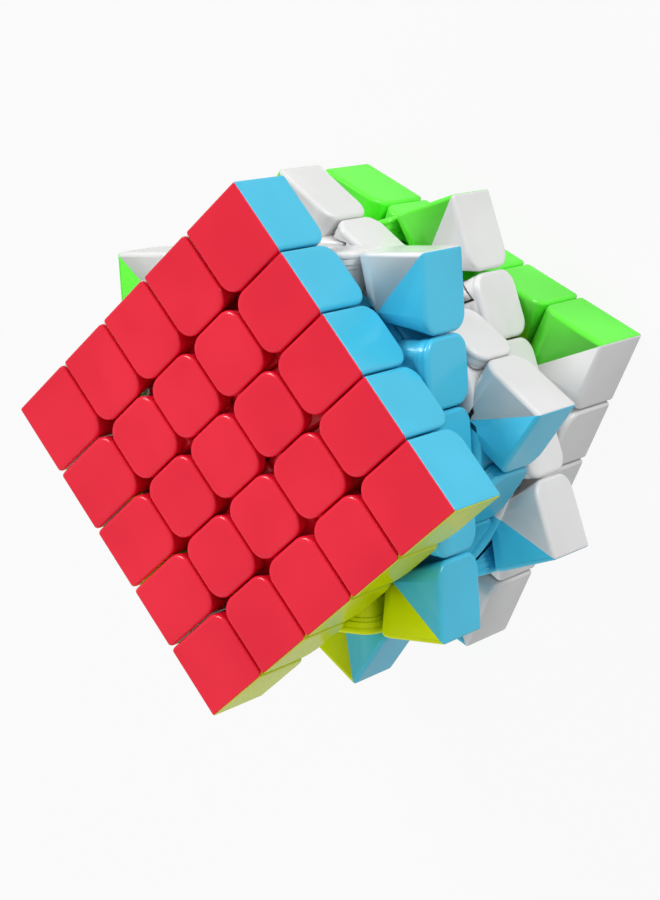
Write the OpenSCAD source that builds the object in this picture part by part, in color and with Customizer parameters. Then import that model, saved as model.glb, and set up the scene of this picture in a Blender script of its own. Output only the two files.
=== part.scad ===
// Twisty puzzle cube with five layers along each edge, moulded in coloured plastic.
// Every cubelet is two or three coloured shells, or one cap, clipped over a foot. The feet
// hook under their neighbours, and six sprung screws hold the fixed centres to the core.
// The origin is at the middle of the bottom face, +Z up, in millimetres.
// The layers turn about Z, and at rest each one stands at its own turn.

/* [Cube] */
// Edge length of the whole cube
cube_w = 62; // [52:1:75]
// How much thicker an outer layer is than an inner one
outer_extra = 1.6; // [0:0.1:3]
// Play between neighbouring cubelets
play = 0.3; // [0.2:0.05:0.4]
// Rounding of the cubelets' edges inside the cube
corner_r = 3; // [1:0.1:3.6]
// Wall of the coloured shells
shell_wall = 1.4; // [1:0.1:1.8]

/* [Feet] */
// Height of the neck between a corner cubelet and its foot, on a 62 mm cube
corner_neck = 2.2; // [1.8:0.05:2.6]
// How far the feet of the outer layers hook under the layer beside them, on a 62 mm cube
edge_hook = 4.1; // [3:0.1:4.8]
// Thickness of the corner and edge feet, on a 62 mm cube
edge_foot_t = 4.7; // [3.5:0.1:5]
// Thickness of the centre pieces' feet, on a 62 mm cube
centre_foot_t = 4; // [3:0.1:5]
// Depth of the caps on the centre pieces, on a 62 mm cube
cap_t = 3.4; // [2.6:0.1:4]
// Height of the stepped stem under a centre piece's cap, on a 62 mm cube
stem_t = 3.4; // [2:0.1:4]
// Step from the cap of a centre piece in to its stem
stem_step = 1.1; // [0.6:0.1:1.5]
// Height of the pegs that hold the shells on the corner and edge feet
peg_t = 2; // [1:0.5:4]
// Space between the sphere that the feet turn in and the shells' lower edges
shell_gap = 0.8; // [0.5:0.1:1.2]
// Clearance of the pegs that hold the shells and caps on the feet
peg_play = 0.05; // [0.02:0.01:0.1]

/* [Screws and springs] */
// Diameter of the screws
screw_d = 2.4; // [2:0.1:2.6]
// Diameter of the screw heads
head_d = 5; // [4.4:0.1:5.2]
// Height of the screw heads
head_h = 1.6; // [1.2:0.1:2]
// Length of the springs under the heads
spring_l = 5.6; // [4:0.1:6]
// Diameter of the spring wire
wire_d = 0.45; // [0.3:0.05:0.5]
// Turns of a spring
spring_turns = 5; // [4:1:6]
// Space left at each end of a spring
spring_gap = 0.05; // [0.02:0.01:0.1]
// Thickness of the washers between spring and head
washer_t = 0.5; // [0.3:0.1:0.8]
// Clearance of a fixed centre round its screw
running_fit = 0.08; // [0.03:0.01:0.1]
// Clearance of a screw's thread in the core
thread_fit = 0.02; // [0.01:0.01:0.05]
// Space round a screw head in its pocket
head_play = 0.3; // [0.2:0.05:0.4]
// Wall round the screw pocket
pocket_wall = 0.95; // [0.8:0.05:1.3]
// Wall of a fixed centre's hollow base
base_wall = 1.8; // [1.2:0.1:2.4]
// Floor of the screw pocket
pocket_floor = 2.4; // [1.6:0.1:3]

/* [Core] */
// Diameter of the core's ball
core_d = 17; // [14:0.5:18]
// Diameter of the core's six posts
post_d = 8; // [6:0.5:9]
// How deep a screw goes into the core
screw_depth = 9; // [6:0.5:10]

/* [Turns at rest] */
// Turn of the top layer
top_turn = 0; // [-180:0.1:180]
// Turn of the upper slice
upper_turn = -37.3; // [-180:0.1:180]
// Turn of the middle slice and the core
middle_turn = -76.6; // [-180:0.1:180]
// Turn of the lower slice
lower_turn = -112; // [-180:0.1:180]
// Turn of the bottom layer
bottom_turn = -156.2; // [-180:0.1:180]

/* [Hidden] */
$fn = 96;

// Halves and cut planes, measured from the middle of the cube
half_w = cube_w / 2;
layer_w = (cube_w - 2 * outer_extra) / 5;
inner_cut = layer_w / 2;
outer_cut = layer_w * 3 / 2;
side_play = play / 2;

// The feet and caps grow with the cube
grown = cube_w / 62;

// Inside these spheres the cuts step in, so that each foot hooks under the piece beside it
hook_r = outer_cut * sqrt(3) + corner_neck * grown;
centre_hook_r = hook_r - edge_foot_t * grown;
base_r = centre_hook_r - centre_foot_t * grown;

// The shells begin outside that space, and far enough out for a corner's peg to reach its foot
peg_hold = 0.3;
shell_r = max(hook_r + shell_gap, (outer_cut + side_play + shell_wall) * sqrt(3) + peg_hold);
peg_r = shell_r + peg_t;
pocket_r = head_d / 2 + head_play;
cap_z = half_w - cap_t * grown;

// A diagonal centre's stem has to hold together past the corner of the step
stem_hold = 0.25;
least_step = sqrt(((hook_r + side_play) ^ 2 - cap_z ^ 2) / 2) + side_play + stem_hold;
outer_step = max(outer_cut - edge_hook * grown, least_step);
inner_step = pocket_r + pocket_wall + side_play;
base_half = (inner_step + outer_step) / 2;
collar_r = pocket_r + pocket_wall;

// Heights on a face's axis, measured from the middle of the cube
stem_z = cap_z - stem_t * grown;
fixed_cap_z = centre_hook_r + play;
base_z = outer_step + side_play;
floor_z = base_z + pocket_floor;
washer_z = floor_z + spring_l;
head_z = washer_z + washer_t;
post_z = outer_step - side_play;

// Which of the three widths a cell takes along one axis: middle, slice or outer layer
MIDDLE = 0;
SLICE = 1;
OUTER = 2;
function cell_low(i) = [-inner_cut, inner_cut, outer_cut][i] + side_play;
function cell_high(i) = i == OUTER ? half_w : [inner_cut, outer_cut][i] - side_play;
function lows(cell) = [for (i = cell) cell_low(i)];
function highs(cell) = [for (i = cell) cell_high(i)];

// The six kinds of cubelet, as their cells along X, Y and Z
CORNER = [OUTER, OUTER, OUTER];
WING = [OUTER, SLICE, OUTER];
MID_EDGE = [OUTER, MIDDLE, OUTER];
DIAGONAL = [SLICE, SLICE, OUTER];
CROSS = [SLICE, MIDDLE, OUTER];
FIXED = [MIDDLE, MIDDLE, OUTER];

FACES = ["top", "bottom"];
SLICES = ["upper", "lower"];
SIDES = ["blue", "white", "green", "yellow"];
SIDE_COLOURS = ["deepskyblue", "whitesmoke", "limegreen", "yellow"];
FACE_COLOURS = ["crimson", "darkorange"];
FACE_NAMES = ["red", "orange"];
KINDS = ["corner", "wing", "middle_edge", "diagonal", "cross", "fixed"];

// ---- Building blocks ----

module box(low, high) {
    translate(low) cube(high - low);
}

module between_spheres(inside, outside) {
    difference() {
        sphere(outside);
        sphere(inside);
    }
}

// A rectangle with some corners rounded: a corner is [0 or 1, 0 or 1], low or high
module rounded_cell(low, high, rounded) {
    size = high - low;
    translate(low + [corner_r, 0]) square([size.x - 2 * corner_r, size.y]);
    translate(low + [0, corner_r]) square([size.x, size.y - 2 * corner_r]);
    for (i = [0, 1], j = [0, 1]) {
        middle = [
            i == 0 ? low.x + corner_r : high.x - corner_r,
            j == 0 ? low.y + corner_r : high.y - corner_r
        ];
        if (len([for (c = rounded) if (c == [i, j]) c]) > 0)
            translate(middle) circle(corner_r);
        else
            translate(middle + [i - 1, j - 1] * corner_r) square(corner_r);
    }
}

// Corners of a cell that lie inside the cube, seen along one axis
function inside_corners(a, b) = [
    for (i = [0, 1], j = [0, 1]) if (!(i == 1 && a == OUTER) && !(j == 1 && b == OUTER)) [i, j]
];

// A cubelet's outside: its cell with the edges inside the cube rounded
module block(cell) {
    low = lows(cell);
    high = highs(cell);
    intersection() {
        linear_extrude(half_w)
            rounded_cell([low.x, low.y], [high.x, high.y], inside_corners(cell.x, cell.y));
        translate([0, half_w, 0]) rotate([90, 0, 0]) linear_extrude(cube_w)
            rounded_cell([low.x, low.z], [high.x, high.z], inside_corners(cell.x, cell.z));
        rotate([90, 0, 90]) linear_extrude(half_w)
            rounded_cell([low.y, low.z], [high.y, high.z], inside_corners(cell.y, cell.z));
    }
}

// The hollow inside a cubelet's shells
module hollow(cell, play_in) {
    box(lows(cell) + [1, 1, 1] * (shell_wall + play_in), highs(cell) - [1, 1, 1] * (shell_wall + play_in));
}

// The part of space where Z is the largest, as the coloured shells meet on 45 degree planes
module z_side() {
    rotate([0, -45, 0]) translate([-cube_w, -cube_w, 0]) cube(2 * cube_w);
}

module z_side_of_y() {
    rotate([45, 0, 0]) translate([-cube_w, -cube_w, 0]) cube(2 * cube_w);
}

// ---- Coloured shells and caps, for the piece that lies towards +X, +Y and +Z ----

// The upper shell of a corner cubelet
module corner_shell() {
    difference() {
        intersection() {
            block(CORNER);
            z_side();
            z_side_of_y();
        }
        hollow(CORNER, 0);
        sphere(shell_r);
    }
}

// The upper shell of an edge cubelet
module edge_shell(cell) {
    difference() {
        intersection() {
            block(cell);
            z_side();
        }
        hollow(cell, 0);
        sphere(shell_r);
    }
}

// The space that the feet beside a centre piece need, below its cap
module hook_space(cell) {
    for (turn = [[0, cell.x], [90, cell.y]])
        rotate(turn[0]) {
            if (turn[1] == SLICE)
                intersection() {
                    sphere(hook_r + side_play);
                    translate([outer_step - side_play, -half_w, 0]) cube([half_w, cube_w, half_w]);
                }
            if (turn[1] == MIDDLE)
                for (side = [0, 180])
                    rotate(side) intersection() {
                        sphere(centre_hook_r + side_play);
                        translate([inner_step - side_play, -half_w, 0]) cube([half_w, cube_w, half_w]);
                    }
        }
}

// The hollow in a centre piece's cap, which its foot's peg fills.
// It stays clear of the thin lip that overhangs the foot of the next layer.
function peg_low(i) = cell_low(i) + shell_wall;
function peg_high(i) = (i == SLICE ? outer_step : cell_high(i)) - shell_wall;
module peg(cell, clearance, low_z) {
    low = [for (a = [0, 1]) peg_low(cell[a]) + clearance];
    high = [for (a = [0, 1]) peg_high(cell[a]) - clearance];
    box([low.x, low.y, low_z], [high.x, high.y, half_w - shell_wall - clearance]);
}

// A plate with all four corners rounded, inset from the sides of its cell
module plate(cell, inset, low_z, high_z) {
    low = lows(cell);
    high = highs(cell);
    translate([0, 0, low_z]) linear_extrude(high_z - low_z)
        rounded_cell(
            [low.x + inset, low.y + inset],
            [high.x - inset, high.y - inset],
            [[0, 0], [0, 1], [1, 0], [1, 1]]
        );
}

module centre_cap(cell) {
    difference() {
        plate(cell, 0, cap_z, half_w);
        hook_space(cell);
        peg(cell, 0, cap_z - 1);
    }
}

// The cap over the screw of a fixed centre, with a recess for the base's collar
module fixed_cap() {
    difference() {
        plate(FIXED, 0, fixed_cap_z, half_w);
        translate([0, 0, fixed_cap_z - 1])
            cylinder(r = collar_r, h = 1 + half_w - fixed_cap_z - shell_wall);
    }
}

// ---- Feet ----

// The foot of a corner cubelet: a curved slab, a neck and a peg in the shells
module corner_foot() {
    intersection() {
        box([base_z, base_z, base_z], [half_w, half_w, half_w]);
        between_spheres(centre_hook_r + side_play, hook_r - side_play);
    }
    intersection() {
        box(lows(CORNER), highs(CORNER));
        sphere(shell_r);
    }
    intersection() {
        hollow(CORNER, peg_play);
        between_spheres(hook_r + side_play, peg_r);
    }
}

// The foot of an edge cubelet, hooked under the centre pieces on both sides
module edge_foot(cell) {
    slab_y = cell.y == SLICE ? outer_step - side_play : cell_high(cell.y);
    intersection() {
        box([base_z, cell_low(cell.y), base_z], [half_w, slab_y, half_w]);
        between_spheres(centre_hook_r + side_play, hook_r - side_play);
    }
    difference() {
        intersection() {
            block(cell);
            between_spheres(centre_hook_r + side_play, shell_r);
        }
        if (cell.y == SLICE)
            intersection() {
                sphere(hook_r + side_play);
                translate([0, outer_step - side_play, 0]) cube(half_w);
            }
    }
    intersection() {
        hollow(cell, peg_play);
        between_spheres(hook_r + side_play, peg_r);
    }
}

// The foot of a centre piece: a stepped stem under the cap, a peg in it, and a curved slab
function stem_low(i) = i == SLICE ? cell_low(i) : side_play - inner_step;
function slab_low(i) = i == SLICE ? inner_step + side_play : stem_low(i);
function slab_high(i) = i == SLICE ? outer_step - side_play : inner_step - side_play;
module centre_foot(cell) {
    high = [slab_high(cell.x), slab_high(cell.y), cap_z];
    difference() {
        plate(cell, stem_step, stem_z, cap_z);
        hook_space(cell);
    }
    peg(cell, peg_play, cap_z);
    intersection() {
        box([stem_low(cell.x), stem_low(cell.y), base_z], high);
        between_spheres(base_r + side_play, cube_w);
    }
    intersection() {
        box([slab_low(cell.x), slab_low(cell.y), base_z], high);
        between_spheres(base_r + side_play, centre_hook_r - side_play);
    }
}

// The base of a fixed centre: a flange on the core's post, and a stalk round the screw
module fixed_base() {
    flange = base_half - side_play;
    stalk = inner_step - side_play;
    difference() {
        union() {
            intersection() {
                box([-flange, -flange, base_z], [flange, flange, cap_z]);
                sphere(base_r - side_play);
            }
            box([-stalk, -stalk, base_z], [stalk, stalk, fixed_cap_z]);
            cylinder(r = collar_r - peg_play, h = half_w - shell_wall - peg_play);
        }
        difference() {
            intersection() {
                box([-flange, -flange, -base_wall] + base_wall * [1, 1, 1],
                    [flange, flange, cap_z + base_wall] - base_wall * [1, 1, 1]);
                sphere(base_r - side_play - base_wall);
            }
            cylinder(r = collar_r, h = half_w);
        }
        translate([0, 0, -1]) cylinder(r = screw_d / 2 + running_fit, h = floor_z + 2);
        translate([0, 0, floor_z]) cylinder(r = pocket_r, h = half_w);
        box([-half_w, -half_w, -1], [half_w, half_w, base_z]);
    }
}

// ---- Core, screws, springs and washers ----

// Places its children on each of the six axes
module on_six_axes() {
    for (turn = [0, 90, 180, 270]) rotate([turn, 0, 0]) children();
    for (turn = [90, -90]) rotate([0, turn, 0]) children();
}

module core() {
    color("dimgray") difference() {
        union() {
            sphere(core_d / 2);
            on_six_axes() cylinder(r = post_d / 2, h = post_z);
        }
        on_six_axes() translate([0, 0, post_z - screw_depth])
            cylinder(r = screw_d / 2 + thread_fit, h = screw_depth + 1);
    }
}

// A screw with a cross recess in its head
module screw() {
    recess = [head_d * 0.6, head_d * 0.16, head_h * 0.6];
    difference() {
        union() {
            translate([0, 0, post_z - screw_depth])
                cylinder(r = screw_d / 2, h = screw_depth + head_z - post_z + head_h / 2);
            translate([0, 0, head_z]) cylinder(r = head_d / 2, h = head_h);
        }
        for (turn = [0, 90])
            translate([0, 0, head_z + head_h]) rotate(turn)
                cube([recess.x, recess.y, recess.z * 2], center = true);
    }
}

module washer() {
    translate([0, 0, washer_z]) difference() {
        cylinder(r = head_d / 2, h = washer_t);
        translate([0, 0, -1]) cylinder(r = screw_d / 2 + peg_play, h = washer_t + 2);
    }
}

// A coil spring: a small ring of points is carried up a helix, and the rings are joined
module spring() {
    ring_sides = 5;
    turn_steps = 12;
    rings = spring_turns * turn_steps;
    mean_r = (screw_d / 2 + pocket_r) / 2;
    rise = spring_l - wire_d - 2 * spring_gap;
    points = [
        for (i = [0:rings], j = [0:ring_sides - 1])
            let (
                around = 360 * i / turn_steps,
                about = 360 * j / ring_sides,
                r = mean_r + wire_d / 2 * cos(about),
                z = floor_z + spring_gap + wire_d / 2 + rise * i / rings + wire_d / 2 * sin(about)
            ) [r * cos(around), r * sin(around), z]
    ];
    sides = [
        for (i = [0:rings - 1], j = [0:ring_sides - 1])
            let (a = i * ring_sides + j, b = i * ring_sides + (j + 1) % ring_sides)
                [a, b, b + ring_sides, a + ring_sides]
    ];
    low_end = [for (j = [0:ring_sides - 1]) ring_sides - 1 - j];
    high_end = [for (j = [0:ring_sides - 1]) rings * ring_sides + j];
    polyhedron(points, concat(sides, [low_end], [high_end]));
}

// ---- Layers ----

// Puts a layer at its height and turn; the lower ones are the upper ones upside down
module layer(turn, flipped) {
    translate([0, 0, half_w]) rotate(turn) {
        if (flipped)
            mirror([0, 0, 1]) children();
        else
            children();
    }
}

module on_four_sides() {
    for (s = [0:3]) rotate(90 * s) children();
}

// A piece and its mirror image across the middle of a side
module both_ways() {
    children();
    mirror([0, 1, 0]) children();
}

// Turns a piece of the top face to the +X side, or an edge along Y to one along Z
module to_side() {
    mirror([1, 0, -1]) children();
}

module upright() {
    mirror([0, 1, -1]) children();
}

module face_shells(kind) {
    if (kind == "corner") on_four_sides() corner_shell();
    if (kind == "wing") on_four_sides() both_ways() edge_shell(WING);
    if (kind == "middle_edge") on_four_sides() edge_shell(MID_EDGE);
    if (kind == "diagonal") on_four_sides() centre_cap(DIAGONAL);
    if (kind == "cross") on_four_sides() centre_cap(CROSS);
    if (kind == "fixed") fixed_cap();
}

module face_feet(kind) {
    if (kind == "corner") on_four_sides() corner_foot();
    if (kind == "wing") on_four_sides() both_ways() edge_foot(WING);
    if (kind == "middle_edge") on_four_sides() edge_foot(MID_EDGE);
    if (kind == "diagonal") on_four_sides() centre_foot(DIAGONAL);
    if (kind == "cross") on_four_sides() centre_foot(CROSS);
    if (kind == "fixed") fixed_base();
}

// The shells of one side colour in a face layer
module face_side_shells(s) {
    rotate(90 * s) to_side() {
        edge_shell(MID_EDGE);
        both_ways() {
            edge_shell(WING);
            corner_shell();
        }
    }
}

// The shells and caps of one side colour in the slice next to a face layer
module slice_side_shells(s) {
    rotate(90 * s) {
        both_ways() upright() to_side() edge_shell(WING);
        to_side() centre_cap(CROSS);
        to_side() both_ways() centre_cap(DIAGONAL);
    }
}

module slice_wing_feet() {
    on_four_sides() upright() edge_foot(WING);
}

module slice_centre_feet() {
    on_four_sides() to_side() {
        centre_foot(CROSS);
        both_ways() centre_foot(DIAGONAL);
    }
}

// The shells and caps of one side colour in the middle slice, but for the fixed cap
module middle_side_shells(s) {
    rotate(90 * s) both_ways() {
        upright() to_side() edge_shell(MID_EDGE);
        to_side() mirror([1, -1, 0]) centre_cap(CROSS);
    }
}

// ---- Nodes ----

turns = [[top_turn, bottom_turn], [upper_turn, lower_turn]];

for (f = [0:1]) {
    for (k = KINDS) {
        color(FACE_COLOURS[f]) layer(turns[0][f], f == 1) face_shells(k);
        color(FACE_COLOURS[f]) layer(turns[0][f], f == 1) face_feet(k);
    }
    for (s = [0:3]) {
        color(SIDE_COLOURS[s]) layer(turns[0][f], f == 1) face_side_shells(s);
        color(SIDE_COLOURS[s]) layer(turns[1][f], f == 1) slice_side_shells(s);
    }
    color("whitesmoke") layer(turns[1][f], f == 1) slice_wing_feet();
    color("whitesmoke") layer(turns[1][f], f == 1) slice_centre_feet();
}
for (s = [0:3]) {
    color(SIDE_COLOURS[s]) layer(middle_turn, false) middle_side_shells(s);
    color(SIDE_COLOURS[s]) layer(middle_turn, false) rotate(90 * s) to_side() fixed_cap();
}
color("whitesmoke") layer(middle_turn, false) on_four_sides() upright() edge_foot(MID_EDGE);  // middle_edge_feet
color("whitesmoke") layer(middle_turn, false) on_four_sides() both_ways() to_side()  // middle_cross_feet
        mirror([1, -1, 0]) centre_foot(CROSS);
color("whitesmoke") layer(middle_turn, false) on_four_sides() to_side() fixed_base();  // middle_fixed_bases
layer(middle_turn, false) core();
color("silver") layer(middle_turn, false) on_six_axes() screw();  // screws
color("gray") layer(middle_turn, false) on_six_axes() spring();  // springs
color("gold") layer(middle_turn, false) on_six_axes() washer();  // washers
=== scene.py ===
"""Looks for the twisty puzzle cube: coloured cubelets, their feet, plastics, light and camera.

Every cubelet is worked out in millimetres from the middle of the cube, in the corner towards
+X, +Y and +Z, then carried to its place in its layer and turned with the layer.
"""

import math

import bpy
import numpy as np
from mathutils import Matrix, Vector


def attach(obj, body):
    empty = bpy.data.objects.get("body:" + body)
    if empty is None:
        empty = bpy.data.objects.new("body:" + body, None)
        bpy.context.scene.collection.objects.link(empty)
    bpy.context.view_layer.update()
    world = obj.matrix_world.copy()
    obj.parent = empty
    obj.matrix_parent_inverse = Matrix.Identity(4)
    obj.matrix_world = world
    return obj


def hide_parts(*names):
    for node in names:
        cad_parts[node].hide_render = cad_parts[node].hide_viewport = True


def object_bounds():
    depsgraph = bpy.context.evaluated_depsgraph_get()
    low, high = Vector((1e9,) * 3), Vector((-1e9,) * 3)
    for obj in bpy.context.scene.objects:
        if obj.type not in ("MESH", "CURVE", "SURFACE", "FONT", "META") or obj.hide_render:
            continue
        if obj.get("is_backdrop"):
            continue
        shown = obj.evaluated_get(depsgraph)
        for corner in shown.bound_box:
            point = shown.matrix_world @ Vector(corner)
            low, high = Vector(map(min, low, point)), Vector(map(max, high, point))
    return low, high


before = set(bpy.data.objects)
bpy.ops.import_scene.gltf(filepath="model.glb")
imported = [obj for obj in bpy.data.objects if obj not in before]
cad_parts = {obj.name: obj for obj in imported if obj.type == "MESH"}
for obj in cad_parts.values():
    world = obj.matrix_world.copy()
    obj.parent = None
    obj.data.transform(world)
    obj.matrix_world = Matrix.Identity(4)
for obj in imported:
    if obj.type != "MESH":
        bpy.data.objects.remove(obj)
cad_low, cad_high = (list(corner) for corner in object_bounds())

MM = 0.001

# ---- Sizes, in millimetres ----

cube_w = (cad_high[2] - cad_low[2]) / MM
half_w = cube_w / 2
middle = Vector((0, 0, half_w * MM))
outer_extra = 1.6
play = 0.3
side_play = play / 2
layer_w = (cube_w - 2 * outer_extra) / 5
inner_cut = layer_w / 2
outer_cut = layer_w * 3 / 2

corner_r = 3.0
fillet = 0.7
ridge_r = 0.12
hold = 0.1
arc_steps = 6
fillet_steps = 5

corner_neck = 2.2
edge_foot_t = 4.7
centre_foot_t = 4.0
edge_hook = 4.1
cap_t = 3.4

# Inside these spheres the feet hook under their neighbours
hook_r = outer_cut * math.sqrt(3) + corner_neck
centre_hook_r = hook_r - edge_foot_t
base_r = centre_hook_r - centre_foot_t
outer_step = outer_cut - edge_hook
inner_step = 3.9
base_z = outer_step + side_play
cap_z = half_w - cap_t
fixed_cap_z = centre_hook_r + play

# A centre's cap, and the steps of the stem under it: how far down each goes, and its inset
cap_plate_t = 1.5
stem_top = 0.75
stem_steps = [(2.2, 0.14), (2.9, 0.28), (7.0, 0.42)]

# How far out from the middle the shells of a corner or edge cubelet end on their inside
corner_shell_in = 32.0
wing_shell_in = 30.5
mid_edge_shell_in = 28.4

LAYER_TURNS = {
    "top_layer": 0.0,
    "upper_slice": -37.3,
    "middle_slice": -76.6,
    "lower_slice": -112.0,
    "bottom_layer": -156.2,
}
SIDES = ["blue", "white", "green", "yellow"]

MIDDLE, SLICE, OUTER = 0, 1, 2
CELL_LOW = [side_play - inner_cut, inner_cut + side_play, outer_cut + side_play]
CELL_HIGH = [inner_cut - side_play, outer_cut - side_play, half_w]
CORNER = (OUTER, OUTER, OUTER)
WING = (OUTER, SLICE, OUTER)
MID_EDGE = (OUTER, MIDDLE, OUTER)
DIAGONAL = (SLICE, SLICE, OUTER)
CROSS = (SLICE, MIDDLE, OUTER)
FIXED = (MIDDLE, MIDDLE, OUTER)


def lows(cell):
    """The cell's lower corner, from the row of lower edges by place on each axis."""
    return np.array([CELL_LOW[i] for i in cell])


def highs(cell):
    """The cell's upper corner, from the row of upper edges by place on each axis."""
    return np.array([CELL_HIGH[i] for i in cell])


# ---- Solids as numpy arrays: points (n, 3) and a list of faces, one row of indices each ----


class Solid:
    """Points and faces of one or more closed solids; faces are grouped by their number of corners."""

    def __init__(self, points, groups, flats=()):
        self.points = points
        self.groups = [g for g in groups if len(g)]
        self.flats = list(flats)

    def moved(self, matrix):
        """The solid under a 3 x 3 matrix; a mirror image has its faces turned round again."""
        turn = slice(None, None, -1) if np.linalg.det(matrix) < 0 else slice(None)
        groups = [g[:, turn] for g in self.groups]
        flats = [g[:, turn] for g in self.flats]
        return Solid(self.points @ matrix.T, groups, flats)


def joined(solids):
    """Several solids as one, each keeping its own points."""
    starts = np.cumsum([0] + [len(s.points) for s in solids])
    groups = [g + start for s, start in zip(solids, starts) for g in s.groups]
    flats = [g + start for s, start in zip(solids, starts) for g in s.flats]
    return Solid(np.concatenate([s.points for s in solids]), groups, flats)


def rounding_offsets(radius, steps):
    """Distances from a box's edge that map to even steps round an arc.

    Each is the radius times one less the tangent of the angle, from 45 degrees down to 0.
    """
    angles = np.radians(np.linspace(45, 0, steps + 1))[1:]
    return np.concatenate([[0], radius * (1 - np.tan(angles)), [radius + hold]])


def grid_lines(low, high, low_radius, high_radius, edge=fillet, more=()):
    """Grid positions from low to high, close together at the edges and wherever a corner is rounded."""
    small = rounding_offsets(edge, fillet_steps)
    from_low = np.append(small, rounding_offsets(low_radius, arc_steps)) if low_radius else small
    from_high = np.append(small, rounding_offsets(high_radius, arc_steps)) if high_radius else small
    lines = np.unique(np.concatenate([low + from_low, high - from_high, more]))
    apart = np.append(True, np.diff(lines) > 0.03)
    return lines[apart | np.isin(lines, [low, high])]


def lattice_box(lines, mitred):
    """The six faces of a box as quads on a lattice of lines, welded along the edges.

    Returns the lattice positions of the points, the quads, and the triangles that replace the
    quads on a face's diagonal where both of the face's axes are mitred.
    """
    counts = [len(line) for line in lines]
    stride = np.array([counts[1] * counts[2], counts[2], 1])
    quads, triangles = [], []
    for axis in range(3):
        b, c = (axis + 1) % 3, (axis + 2) % 3
        i, j = np.meshgrid(np.arange(counts[b] - 1), np.arange(counts[c] - 1), indexing="ij")
        i, j = i.ravel(), j.ravel()
        for high in (False, True):
            base = (counts[axis] - 1) * stride[axis] if high else 0
            a00 = base + i * stride[b] + j * stride[c]
            quad = np.stack([a00, a00 + stride[b], a00 + stride[b] + stride[c], a00 + stride[c]], 1)
            if not high:
                quad = quad[:, ::-1]
            if b in mitred and c in mitred and not (high and axis in mitred):
                on_diagonal = i == j
                cut = quad[on_diagonal]
                first = 0 if high else 3
                order = [first, (first + 1) % 4, (first + 2) % 4, (first + 3) % 4]
                triangles += [cut[:, order[:3]], cut[:, [order[0], order[2], order[3]]]]
                quad = quad[~on_diagonal]
            quads.append(quad)
    triangles = np.concatenate(triangles) if triangles else np.zeros((0, 3), int)
    return np.concatenate(quads), triangles, stride


def nearest_in_rectangle(p, low, high, radius, rounded):
    """The nearest point to each p (n, 2) in a rectangle whose listed corners are arcs of a radius.

    A point is clamped to the rectangle; past an arc's centre both ways it moves to the arc.
    """
    out = np.clip(p, low, high)
    if radius <= 0:
        return out
    for i, j in rounded:
        way = np.array([2 * i - 1, 2 * j - 1])
        centre = np.where(way > 0, high - radius, low + radius)
        out_of_centre = p - centre
        distance = np.linalg.norm(out_of_centre, axis=1)
        past = np.all(out_of_centre * way > 0, axis=1) & (distance > radius)
        out[past] = centre + out_of_centre[past] * (radius / distance[past])[:, None]
    return out


def prism_set(low, high, radius, axes, rounded):
    """A projection on to a prism: a rounded rectangle in two axes, endless along the third."""
    axes = list(axes)

    def nearest(p):
        out = p.copy()
        out[:, axes] = nearest_in_rectangle(p[:, axes], low[axes], high[axes], radius, rounded)
        return out

    return nearest


def beyond_set(normal, distance):
    """A projection on to the half of space beyond a plane."""
    normal = np.array(normal, float) / np.linalg.norm(normal)

    def nearest(p):
        short = np.maximum(0, distance - p @ normal)
        return p + short[:, None] * normal

    return nearest


def ball_set(radius):
    """A projection on to a ball round the middle of the cube."""

    def nearest(p):
        distance = np.linalg.norm(p, axis=1)
        return p * np.minimum(1, radius / distance)[:, None]

    return nearest


def rounded_by(points, sets, radius, square=(), rounds=60):
    """Carries points on a box to the surface a radius outside the meeting of some convex sets.

    Dykstra's method finds the nearest point in the meeting by projecting on to each set in
    turn, and giving back each set's last correction before its next turn. The surface point is
    then the nearest point plus the radius times the direction back to the start. The square
    axes are measured together by a fourth-power sum, which keeps the edges between their
    faces sharper.
    """
    nearest = points.copy()
    corrections = [np.zeros_like(points) for _ in sets]
    for _ in range(rounds if len(sets) > 1 else 1):
        for k, project in enumerate(sets):
            wanted = nearest + corrections[k]
            nearest = project(wanted)
            corrections[k] = wanted - nearest
    away = points - nearest
    out = np.maximum(away[:, list(square)], 0)
    length = np.sqrt((out**4).sum(1) ** 0.5 + (away**2).sum(1) - (out**2).sum(1))
    return nearest + away * (radius / np.maximum(length, 1e-9))[:, None]


def inside_corners(a, b):
    """The corners of a cell, seen along one axis, that lie inside the cube."""
    return [(i, j) for i in (0, 1) for j in (0, 1) if not (i and a == OUTER) and not (j and b == OUTER)]


def block_sets(cell, plane):
    """The three prisms that round a cubelet's inside edges, and the plane where its foot begins."""
    low, high = lows(cell) + fillet, highs(cell) - fillet
    radius = corner_r - fillet
    pairs = [(0, 1), (0, 2), (1, 2)]
    sets = [
        prism_set(low, high, radius, (a, b), inside_corners(cell[a], cell[b])) for a, b in pairs
    ]
    return sets + [beyond_set(*plane)]


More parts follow.
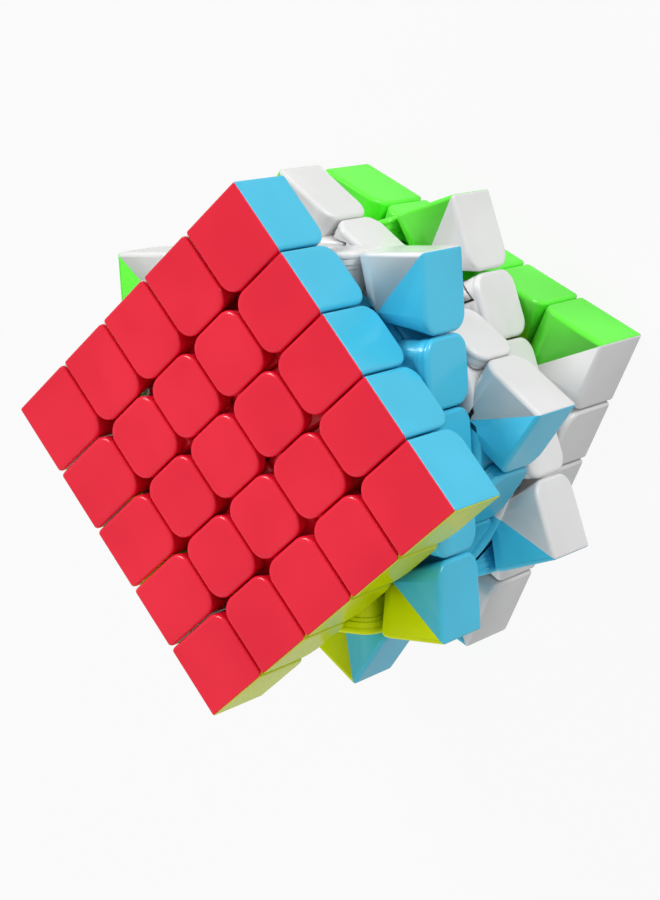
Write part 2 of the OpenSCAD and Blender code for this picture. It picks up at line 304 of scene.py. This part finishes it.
def cubelet_shells(cell, plane):
    """The coloured shells of a corner or edge cubelet, by the axis that each one faces.

    The lattice is rounded, and its faces go to the shell of the axis on which they lie
    furthest out. Each shell is closed by flat faces on the 45 degree planes between shells.
    """
    low, high = lows(cell), highs(cell)
    mitred = [a for a in range(3) if cell[a] == OUTER]
    lines = [grid_lines(low[a], high[a], corner_r, 0 if a in mitred else corner_r) for a in range(3)]
    quads, triangles, stride = lattice_box(lines, mitred)
    used = np.unique(quads)
    lattice = np.stack([(used // stride[a]) % len(lines[a]) for a in range(3)], 1)
    flat = np.stack([lines[a][lattice[:, a]] for a in range(3)], 1)
    points = rounded_by(flat, block_sets(cell, plane), fillet, mitred)

    def facing(faces):
        return np.argmax(np.abs(flat[np.searchsorted(used, faces)].mean(1)), axis=1)

    shells = {}
    last = len(lines[mitred[0]]) - 1
    for axis in mitred:
        flats = []
        for other in mitred:
            if other == axis:
                continue
            along = 3 - axis - other
            loop = mitre_loop(axis, other, along, last, len(lines[along]) - 1, cell[along] == OUTER)
            face = np.searchsorted(used, loop @ stride)
            flats.append(facing_out(points, face, other, axis))
        groups = [np.searchsorted(used, faces[facing(faces) == axis]) for faces in (quads, triangles)]
        shells[axis] = compact(points, groups, flats)
    return shells


def mitre_loop(axis, other, along, last, far, is_corner):
    """Lattice places round the flat face between two shells, where both axes' places are equal."""

    def places(t, s):
        out = np.zeros((max(np.size(t), np.size(s)), 3), int)
        out[:, axis] = out[:, other] = t
        out[:, along] = s
        return out

    out_on_low = places(np.arange(last + 1), 0)
    if is_corner:
        return np.concatenate([out_on_low, places(last, np.arange(1, last + 1))])
    return np.concatenate(
        [
            out_on_low,
            places(last, np.arange(1, far + 1)),
            places(np.arange(last - 1, -1, -1), far),
            places(0, np.arange(far - 1, 0, -1)),
        ]
    )


def facing_out(points, loop, towards, away):
    """The loop as one face, turned so that it faces towards one axis and away from the other."""
    p = points[loop]
    normal = np.cross(p, np.roll(p, -1, axis=0)).sum(0)
    return (loop if normal[towards] > normal[away] else loop[::-1])[None, :]


def compact(points, groups, flats):
    """A solid with only the points that its faces use."""
    used = np.unique(np.concatenate([g.ravel() for g in groups + flats]))
    renumbered = [np.searchsorted(used, g) for g in groups]
    return Solid(points[used], renumbered, [np.searchsorted(used, g) for g in flats])


def convex_solid(low, high, sets, mitred=(), radius=0.3, count=9):
    """A box cut by balls and planes, with its edges rounded by a small radius."""
    low, high = np.array(low, float), np.array(high, float)
    lines = [np.linspace(low[a], high[a], count) for a in range(3)]
    quads, triangles, stride = lattice_box(lines, mitred)
    used = np.unique(quads)
    flat = np.stack([lines[a][(used // stride[a]) % count] for a in range(3)], 1)
    inner_low, inner_high = low + radius, high - radius
    box = prism_set(inner_low, inner_high, 0, (0, 1, 2), [])
    points = rounded_by(flat, [box] + sets, radius, rounds=200)
    return Solid(points, [np.searchsorted(used, faces) for faces in (quads, triangles)])


def above_hooks(points, cell, low_z, top_z):
    """Points with Z raised to clear the space that the next layer's feet turn in.

    Past the step in the cut, the underside goes up to the hook sphere where that is higher,
    and the wall's points above it are drawn up in proportion, as far as the top.
    """
    out = points.copy()
    for axis in (0, 1):
        radius, step = (hook_r, outer_step) if cell[axis] == SLICE else (centre_hook_r, inner_step)
        height = np.sqrt(np.maximum(0, (radius + side_play) ** 2 - out[:, 0] ** 2 - out[:, 1] ** 2))
        share = np.clip((out[:, 2] - low_z) / (top_z - low_z), 0, None)
        past = (np.abs(out[:, axis]) > step - side_play - 0.02) & (height > low_z) & (share < 1)
        out[past, 2] = (height + (top_z - height) * share)[past]
    return out


ALL_CORNERS = [(0, 0), (0, 1), (1, 0), (1, 1)]


def plate(cell, low_z, high_z, inset, edge):
    """A plate with rounded corners and edges over a centre's cell, hollowed under by the hook spheres."""
    low, high = lows(cell) + inset, highs(cell) - inset
    low[2], high[2] = low_z, high_z
    radius = corner_r - inset
    step = outer_step - side_play
    at_step = [[step - 0.05, step + 0.01] if cell[a] == SLICE else [] for a in (0, 1)]
    lines = [grid_lines(low[a], high[a], radius, radius, edge, at_step[a]) for a in (0, 1)]
    lines.append(grid_lines(low_z, high_z, 0, 0, edge))
    quads, _, stride = lattice_box(lines, [])
    used = np.unique(quads)
    flat = np.stack([lines[a][(used // stride[a]) % len(lines[a])] for a in range(3)], 1)
    inner_low, inner_high = low + edge, high - edge

    def nearest(p):
        out = p.copy()
        out[:, :2] = nearest_in_rectangle(p[:, :2], inner_low[:2], inner_high[:2], radius - edge, ALL_CORNERS)
        out[:, 2] = np.clip(p[:, 2], inner_low[2], inner_high[2])
        return out

    points = above_hooks(rounded_by(flat, [nearest], edge), cell, low_z, high_z - edge)
    return Solid(points, [np.searchsorted(used, quads)])


def centre_foot(cell):
    """A centre's foot: a stem in three steps, a block through the cut, and a slab under the next cap."""
    steps = [
        plate(cell, half_w - depth, half_w - stem_top, inset, ridge_r) for depth, inset in stem_steps
    ]

    def stem_low(i):
        return CELL_LOW[i] if i == SLICE else side_play - inner_step

    def slab_low(i):
        return inner_step + side_play if i == SLICE else stem_low(i)

    high = [outer_step - side_play if i == SLICE else inner_step - side_play for i in cell[:2]]
    way = np.array([(stem_low(i) + h) / 2 for i, h in zip(cell[:2], high)] + [24.0])
    inside = beyond_set(way, base_r + side_play + 0.6)
    block = convex_solid([stem_low(i) for i in cell[:2]] + [base_z], high + [cap_z + 0.5], [inside])
    slab = convex_solid(
        [slab_low(i) for i in cell[:2]] + [base_z],
        high + [centre_hook_r],
        [inside, ball_set(centre_hook_r - side_play - 0.3)],
    )
    return joined(steps + [block, slab])


def edge_foot(cell):
    """The foot of a corner or edge cubelet: a box cut by the ball it turns in, and by a plane inside."""
    low = [base_z if i == OUTER else CELL_LOW[i] for i in cell]
    high = [half_w if i == OUTER else (outer_step - side_play if i == SLICE else CELL_HIGH[i]) for i in cell]
    way = [1 if i == OUTER else 0 for i in cell]
    inside = beyond_set(way, centre_hook_r + side_play + 0.4)
    mitred = [a for a in range(3) if cell[a] == OUTER]
    return convex_solid(low, high, [inside, ball_set(hook_r - side_play - 0.3)], mitred, count=12)


# ---- Places in the cube, as matrices ----

IDENTITY = np.eye(3)
SWAP_XZ = np.array([[0, 0, 1], [0, 1, 0], [1, 0, 0]], float)
SWAP_YZ = np.array([[1, 0, 0], [0, 0, 1], [0, 1, 0]], float)
SWAP_XY = np.array([[0, 1, 0], [1, 0, 0], [0, 0, 1]], float)
FLIP_Y = np.diag([1.0, -1.0, 1.0])
FLIP_Z = np.diag([1.0, 1.0, -1.0])


def turn_z(degrees):
    """A turn about Z: the cosine on the diagonal, and the sine less and plus beside it."""
    c, s = math.cos(math.radians(degrees)), math.sin(math.radians(degrees))
    return np.array([[c, -s, 0], [s, c, 0], [0, 0, 1]])


def side(s):
    """A quarter turn for each side: blue +X, white +Y, green -X, yellow -Y."""
    return turn_z(90 * s)


BOTH_WAYS = [IDENTITY, FLIP_Y]

# ---- The solids that repeat ----

corner_shells = cubelet_shells(CORNER, ((1, 1, 1), corner_shell_in + fillet))
wing_shells = cubelet_shells(WING, ((1, 0, 1), wing_shell_in + fillet))
mid_edge_shells = cubelet_shells(MID_EDGE, ((1, 0, 1), mid_edge_shell_in + fillet))
corner_shell = corner_shells[2]
wing_shell = wing_shells[2]
mid_edge_shell = mid_edge_shells[2]
diagonal_cap = plate(DIAGONAL, half_w - cap_plate_t, half_w, 0, fillet)
cross_cap = plate(CROSS, half_w - cap_plate_t, half_w, 0, fillet)
fixed_cap = plate(FIXED, fixed_cap_z, half_w, 0, fillet)
corner_foot, wing_foot, mid_edge_foot = (edge_foot(cell) for cell in (CORNER, WING, MID_EDGE))
diagonal_foot, cross_foot = centre_foot(DIAGONAL), centre_foot(CROSS)


# ---- Shader maths ----


class Wire:
    """A shader value: arithmetic on it adds Math nodes, and node() adds any other node."""

    tree = None

    def __init__(self, socket):
        self.socket = socket

    @classmethod
    def node(cls, kind, settings=(), values=(), output=0):
        """A node of a type, with its settings first and then its sockets' values or links."""
        made = cls.tree.nodes.new(kind)
        for name, value in dict(settings).items():
            setattr(made, name, value)
        for name, value in dict(values).items():
            socket = made.inputs[name]
            if isinstance(value, Wire):
                cls.tree.links.new(value.socket, socket)
            else:
                socket.default_value = value
        return cls(made.outputs[output])

    def maths(self, operation, *others):
        values = {k: v for k, v in enumerate((self, *others))}
        return Wire.node("ShaderNodeMath", {"operation": operation}, values)

    def __add__(self, other):
        return self.maths("ADD", other)

    def __mul__(self, other):
        return self.maths("MULTIPLY", other)

    def __sub__(self, other):
        return self.maths("SUBTRACT", other)

    def __rsub__(self, other):
        return Wire.node("ShaderNodeMath", {"operation": "SUBTRACT"}, {0: other, 1: self})

    __radd__ = __add__
    __rmul__ = __mul__

    def above(self, low, high):
        """0 below low and 1 above high, smooth between."""
        settings = {"interpolation_type": "SMOOTHSTEP"}
        return Wire.node("ShaderNodeMapRange", settings, {0: self, 1: low, 2: high, 3: 0.0, 4: 1.0})


def new_material(name):
    """An empty material with its shader, and the tree that Wire adds nodes to."""
    material = bpy.data.materials.new(name)
    material.use_nodes = True
    Wire.tree = material.node_tree
    return material, material.node_tree.nodes["Principled BSDF"]


def feed(shader, name, wire):
    """Links a wire to one of the shader's sockets."""
    Wire.tree.links.new(wire.socket, shader.inputs[name])


def noise(scale, detail=2.0, rough=0.5):
    """Noise from 0 to 1 that is fixed to the object, with its scale in waves a metre."""
    place = Wire.node("ShaderNodeTexCoord", output="Object")
    values = {"Vector": place, "Scale": scale, "Detail": detail, "Roughness": rough}
    return Wire.node("ShaderNodeTexNoise", values=values)


def tinted(mask, low, high):
    """One colour at mask 0 and another at mask 1."""
    values = {0: mask, 6: (*low, 1.0), 7: (*high, 1.0)}
    return Wire.node("ShaderNodeMix", {"data_type": "RGBA"}, values, output=2)


def plastic(name, colour, roughness=0.2, gloss=0.5):
    """Glossy moulded plastic: slightly uneven colour, a faint moulded ripple and finger-dulled patches."""
    material, shader = new_material(name)
    cloud = noise(55.0)
    paler = [min(1.0, c * 1.04 + 0.006) for c in colour]
    deeper = [c * 0.95 for c in colour]
    feed(shader, "Base Color", tinted(cloud.above(0.3, 0.7), deeper, paler))
    dulled = noise(140.0, 3.0).above(0.42, 0.75)
    feed(shader, "Roughness", roughness + 0.06 * dulled)
    ripple = noise(170.0, 0.0)
    bump = Wire.node("ShaderNodeBump", values={"Strength": 0.03, "Distance": 0.0006, "Height": ripple})
    feed(shader, "Normal", bump)
    shader.inputs["IOR"].default_value = 1.5
    shader.inputs["Specular IOR Level"].default_value = gloss
    return material


def metal(name, colour, roughness):
    """Drawn or turned metal with a fine grain in its gloss."""
    material, shader = new_material(name)
    grain = noise(1800.0, 2.0)
    feed(shader, "Base Color", tinted(grain, [c * 0.8 for c in colour], colour))
    feed(shader, "Roughness", roughness + 0.15 * grain)
    shader.inputs["Metallic"].default_value = 1.0
    return material


PLASTICS = {
    "red": plastic("red_plastic", (0.87, 0.006, 0.035)),
    "orange": plastic("orange_plastic", (0.95, 0.2, 0.004)),
    "blue": plastic("blue_plastic", (0.06, 0.55, 0.80)),
    "white": plastic("white_plastic", (0.80, 0.79, 0.79)),
    "green": plastic("green_plastic", (0.13, 0.93, 0.045)),
    "yellow": plastic("yellow_plastic", (0.68, 0.80, 0.002), gloss=0.15),
}
SIDE_PLASTICS = [PLASTICS[name] for name in SIDES]
FOOT_PLASTICS = [PLASTICS["red"], *SIDE_PLASTICS]
CORE_PLASTIC = plastic("core_plastic", (0.03, 0.03, 0.032), 0.4)
ZINC = metal("zinc_plate", (0.62, 0.61, 0.58), 0.28)
SPRING_WIRE = metal("spring_wire", (0.5, 0.5, 0.5), 0.22)


# ---- Pieces ----


def side_numbers(points, faces):
    """0 for faces that lie furthest out along Z, and 1 to 4 for those furthest out along each side's way.

    Well inside the cube, faces up to 4 mm less far out along Z count as Z's: they are seen from there.
    """
    centre = points[faces].mean(1)
    x, y, z = centre.T
    outwards = np.maximum(np.abs(x), np.abs(y))
    along_x = np.where(x > 0, 1, 3)
    along_y = np.where(y > 0, 2, 4)
    sideways = np.where(np.abs(x) > np.abs(y), along_x, along_y)
    return np.where(np.abs(z) + 4 * (outwards < 24) > outwards, 0, sideways)


def make_mesh(name, whole, place, by_side):
    """One mesh from a solid in its layer's frame, with a material number for each face if it is by side."""
    groups = whole.groups + whole.flats
    sizes = np.concatenate([np.full(len(g), g.shape[1]) for g in groups])
    is_smooth = np.concatenate([np.full(len(g), k < len(whole.groups)) for k, g in enumerate(groups)])
    numbers = np.concatenate([side_numbers(whole.points, g) if by_side else np.zeros(len(g)) for g in groups])
    placed = whole.moved(place)
    corners = np.concatenate([g.ravel() for g in placed.groups + placed.flats])
    mesh = bpy.data.meshes.new(name)
    mesh.vertices.add(len(placed.points))
    points = placed.points * MM + np.array(middle)
    mesh.vertices.foreach_set("co", points.astype(np.float32).ravel())
    mesh.loops.add(len(corners))
    mesh.loops.foreach_set("vertex_index", corners.astype(np.int32))
    mesh.polygons.add(len(sizes))
    mesh.polygons.foreach_set("loop_start", np.append(0, np.cumsum(sizes)[:-1]).astype(np.int32))
    mesh.polygons.foreach_set("material_index", numbers.astype(np.int32))
    mesh.update(calc_edges=True)
    mesh.polygons.foreach_set("use_smooth", is_smooth)
    mesh.validate()
    return mesh


def add_piece(node, body, solids, materials, flipped=False):
    """A piece that stands for a CAD node: solids in the layer's frame, with one material or one a side."""
    place = turn_z(LAYER_TURNS[body]) @ (FLIP_Z if flipped else IDENTITY)
    name = node + "_moulded"
    piece = bpy.data.objects.new(name, make_mesh(name, joined(solids), place, len(materials) > 1))
    for material in materials:
        piece.data.materials.append(material)
    bpy.context.scene.collection.objects.link(piece)
    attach(piece, body)
    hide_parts(node)


def copies(solid, matrices):
    """The solid under each of the matrices."""
    return [solid.moved(matrix) for matrix in matrices]


FOUR_SIDES = [side(s) for s in range(4)]
EIGHT_PLACES = [side(s) @ way for s in range(4) for way in BOTH_WAYS]


def face_layer(layer, body, colour, flipped):
    """The 25 cubelets of the top or bottom layer."""
    shells = {
        "corner": copies(corner_shell, FOUR_SIDES),
        "wing": copies(wing_shell, EIGHT_PLACES),
        "middle_edge": copies(mid_edge_shell, FOUR_SIDES),
        "diagonal": copies(diagonal_cap, FOUR_SIDES),
        "cross": copies(cross_cap, FOUR_SIDES),
        "fixed": copies(fixed_cap, [IDENTITY]),
    }
    feet = {
        "corner": copies(corner_foot, FOUR_SIDES),
        "wing": copies(wing_foot, EIGHT_PLACES),
        "middle_edge": copies(mid_edge_foot, FOUR_SIDES),
        "diagonal": copies(diagonal_foot, FOUR_SIDES),
        "cross": copies(cross_foot, FOUR_SIDES),
    }
    for kind, solids in shells.items():
        add_piece(f"{layer}_{colour}_{kind}_shells", body, solids, [PLASTICS[colour]], flipped)
    for kind, solids in feet.items():
        add_piece(f"{layer}_{kind}_feet", body, solids, [PLASTICS[colour], *SIDE_PLASTICS], flipped)
    for s, name in enumerate(SIDES):
        edges = copies(mid_edge_shell, [side(s) @ SWAP_XZ])
        for way in BOTH_WAYS:
            edges += copies(wing_shell, [side(s) @ way @ SWAP_XZ])
            edges += copies(corner_shell, [side(s) @ way @ SWAP_XZ])
        add_piece(f"{layer}_{name}_shells", body, edges, [PLASTICS[name]], flipped)


def slice_layer(layer, body, flipped):
    """The 16 cubelets of the slice beside a face layer."""
    for s, name in enumerate(SIDES):
        solids = copies(cross_cap, [side(s) @ SWAP_XZ])
        for way in BOTH_WAYS:
            solids += copies(wing_shell, [side(s) @ way @ SWAP_YZ @ SWAP_XZ])
            solids += copies(diagonal_cap, [side(s) @ way @ SWAP_XZ])
        add_piece(f"{layer}_{name}_shells", body, solids, [PLASTICS[name]], flipped)
    wings, centres = [], []
    for s in range(4):
        wings += copies(wing_foot, [side(s) @ SWAP_YZ])
        centres += copies(cross_foot, [side(s) @ SWAP_XZ])
        centres += copies(diagonal_foot, [side(s) @ way @ SWAP_XZ for way in BOTH_WAYS])
    add_piece(f"{layer}_wing_feet", body, wings, FOOT_PLASTICS, flipped)
    add_piece(f"{layer}_centre_feet", body, centres, FOOT_PLASTICS, flipped)


def middle_layer():
    """The 12 cubelets of the middle slice; the bases of its fixed centres stay as the CAD has them."""
    body = "middle_slice"
    feet, cross_feet = [], []
    for s, name in enumerate(SIDES):
        solids = []
        for way in BOTH_WAYS:
            solids += copies(mid_edge_shell, [side(s) @ way @ SWAP_YZ @ SWAP_XZ])
            solids += copies(cross_cap, [side(s) @ way @ SWAP_XZ @ SWAP_XY])
            cross_feet += copies(cross_foot, [side(s) @ way @ SWAP_XZ @ SWAP_XY])
        feet += copies(mid_edge_foot, [side(s) @ SWAP_YZ])
        add_piece(f"middle_{name}_shells", body, solids, [PLASTICS[name]])
        add_piece(f"middle_{name}_fixed_cap", body, copies(fixed_cap, [side(s) @ SWAP_XZ]), [PLASTICS[name]])
    add_piece("middle_edge_feet", body, feet, FOOT_PLASTICS)
    add_piece("middle_cross_feet", body, cross_feet, FOOT_PLASTICS)


face_layer("top", "top_layer", "red", False)
face_layer("bottom", "bottom_layer", "orange", True)
slice_layer("upper", "upper_slice", False)
slice_layer("lower", "lower_slice", True)
middle_layer()

CAD_FINISHES = {
    "top_fixed_feet": PLASTICS["red"],
    "bottom_fixed_feet": PLASTICS["orange"],
    "middle_fixed_bases": PLASTICS["white"],
    "core": CORE_PLASTIC,
    "screws": ZINC,
    "springs": SPRING_WIRE,
    "washers": ZINC,
}
for node, material in CAD_FINISHES.items():
    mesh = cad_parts[node].data
    mesh.materials.clear()
    mesh.materials.append(material)


# ---- Camera ----

VIEW_FROM = Vector((214.429, -86.782, 305.297 + half_w)) * MM
VIEW_WAY = Vector((-0.56783, 0.21908, -0.79345)).normalized()
VIEW_UP = Vector((0.55556, 0.81327, -0.17304)).normalized()
VIEW_RIGHT = VIEW_WAY.cross(VIEW_UP).normalized()


def facing_matrix(place, way, up):
    """A matrix that stands at a place and looks one way, with another way up."""
    right = way.cross(up).normalized()
    true_up = right.cross(way)
    matrix = Matrix((right, true_up, -way)).transposed().to_4x4()
    matrix.translation = place
    return matrix


camera = bpy.data.objects.new("camera", bpy.data.cameras.new("camera"))
camera.matrix_world = facing_matrix(VIEW_FROM, VIEW_WAY, VIEW_UP)
camera.data.lens = 90.54
camera.data.sensor_width = 36.0
camera.data.clip_start = 0.01
bpy.context.scene.collection.objects.link(camera)
bpy.context.scene.camera = camera


# ---- Light, floor and background ----


def area_light(name, right, up, near, size, power, shines=True):
    """A soft square lamp placed by the camera's own right, up and nearness, in metres from the cube."""
    lamp = bpy.data.lights.new(name, "AREA")
    lamp.size = size
    lamp.energy = power
    place = middle + right * VIEW_RIGHT + up * VIEW_UP - near * VIEW_WAY
    item = bpy.data.objects.new(name, lamp)
    item.matrix_world = facing_matrix(place, (middle - place).normalized(), VIEW_UP)
    item.visible_glossy = shines
    bpy.context.scene.collection.objects.link(item)


area_light("key_light", -0.7, 0.6, 0.35, 0.3, 4.6)
area_light("side_light", 0.5, 0.6, 0.6, 0.45, 7.2)
area_light("low_light", -0.5, -0.85, 0.15, 0.9, 4.9, shines=False)


def seen_directly():
    """1 for rays from the camera, and a part of it for those that show the background in gloss."""
    path = Wire.tree.nodes.new("ShaderNodeLightPath")
    glossy, through = Wire(path.outputs["Is Glossy Ray"]), Wire(path.outputs["Is Transmission Ray"])
    return Wire(path.outputs["Is Camera Ray"]).maths("MAXIMUM", through).maths("MAXIMUM", 0.3 * glossy)


world = bpy.data.worlds.new("studio")
bpy.context.scene.world = world
world.use_nodes = True
Wire.tree = world.node_tree
background = world.node_tree.nodes["Background"]
background.inputs["Color"].default_value = (1, 1, 1, 1)
strength = 0.38 + 0.62 * seen_directly()
world.node_tree.links.new(strength.socket, background.inputs["Strength"])

floor_w = 3.0
floor_mesh = bpy.data.meshes.new("floor")
corners = [(-floor_w, -floor_w, 0), (floor_w, -floor_w, 0), (floor_w, floor_w, 0), (-floor_w, floor_w, 0)]
floor_mesh.from_pydata(corners, [], [(0, 1, 2, 3)])
floor = bpy.data.objects.new("floor", floor_mesh)
bpy.context.scene.collection.objects.link(floor)
floor_material, floor_shader = new_material("floor_paint")
floor_shader.inputs["Base Color"].default_value = (0.5, 0.5, 0.5, 1)
floor_shader.inputs["Roughness"].default_value = 0.9
glow = Wire.node("ShaderNodeEmission", values={"Color": (1, 1, 1, 1), "Strength": 1.0})
mixed = Wire.node(
    "ShaderNodeMixShader", values={0: 0.92 * seen_directly(), 1: Wire(floor_shader.outputs[0]), 2: glow}
)
output = floor_material.node_tree.nodes["Material Output"]
floor_material.node_tree.links.new(mixed.socket, output.inputs["Surface"])
floor_mesh.materials.append(floor_material)
floor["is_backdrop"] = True

bpy.context.scene.view_settings.view_transform = "Standard"
